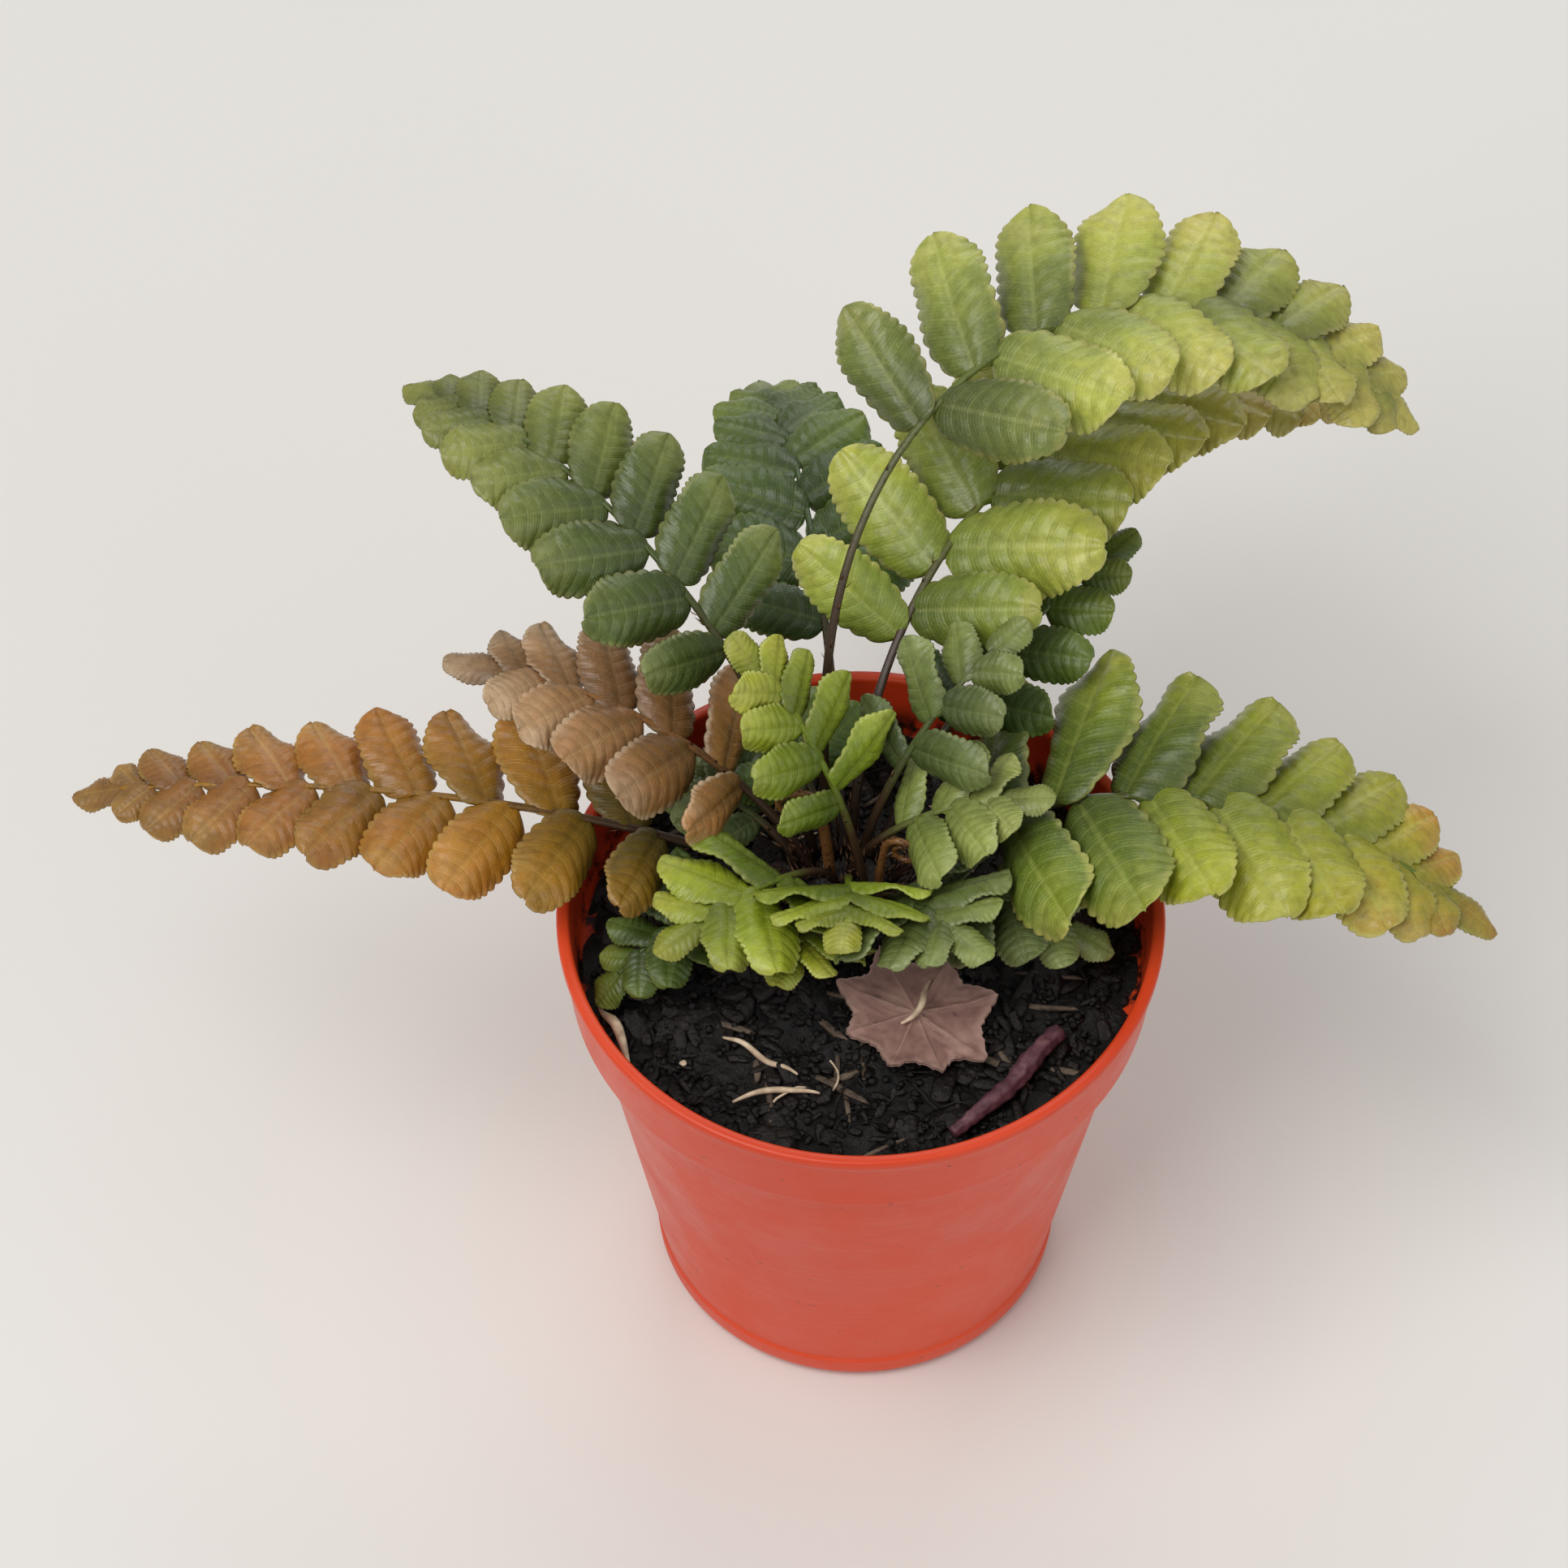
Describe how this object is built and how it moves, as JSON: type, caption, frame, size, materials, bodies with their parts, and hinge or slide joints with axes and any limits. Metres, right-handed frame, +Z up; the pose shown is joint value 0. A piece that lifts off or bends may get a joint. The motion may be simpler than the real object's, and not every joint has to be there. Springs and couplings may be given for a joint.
{
  "type": "potted fern",
  "caption": "Young pinnate fern with arching bronze, gold and green fronds growing from a short rhizome in a small round tapered nursery pot.",
  "frame": {"origin": "centre of the pot's base, on the face that it stands on", "axes": "+Z up along the pot's axis; +X to the right and -Y to the viewer as the plant is seen from its front"},
  "size_m": [0.1286, 0.0938, 0.0866],
  "materials": {
    "pot_plastic": "satin terracotta-coloured moulded plastic",
    "potting_mix": "moist peat and bark mix",
    "rhizome": "brown scaly rhizome",
    "dead_leaf": "dry mauve-brown fallen leaf",
    "dead_stalk": "dry purple-brown stalk piece",
    "pale_fibre": "dry pale root fibre",
    "crozier": "young coiled frond with brown scales",
    "frond_gold": "glossy fern leaf tissue",
    "frond_olive": "glossy fern leaf tissue",
    "frond_bronze": "glossy fern leaf tissue",
    "frond_rose": "glossy fern leaf tissue",
    "frond_lime": "glossy fern leaf tissue",
    "frond_green": "glossy fern leaf tissue",
    "frond_sage": "glossy fern leaf tissue"
  },
  "bodies": {
    "root": {"pot": "pot_plastic", "potting_mix": "potting_mix", "rhizome_crown": "rhizome", "dead_leaf": "dead_leaf", "dead_stalk": "dead_stalk", "pale_fibre_01": "pale_fibre", "pale_fibre_02": "pale_fibre", "crozier_01": "crozier", "crozier_02": "crozier", "frond_back_right_gold": "frond_gold", "frond_back_right_tall": "frond_olive", "frond_right_olive": "frond_olive", "frond_left_bronze": "frond_bronze", "frond_back_left_rose": "frond_rose", "frond_centre_lime": "frond_lime", "frond_back_right_dark": "frond_green", "frond_centre_left": "frond_lime", "frond_front_centre": "frond_lime", "frond_front_low": "frond_lime", "frond_front_left": "frond_green", "frond_right_low": "frond_sage", "frond_back_left_tall": "frond_olive", "frond_centre_pale": "frond_lime", "frond_centre_right": "frond_sage", "frond_back_low": "frond_green", "frond_centre_front": "frond_sage", "frond_centre_back": "frond_green", "frond_left_low": "frond_sage"}
  },
  "joints": []
}
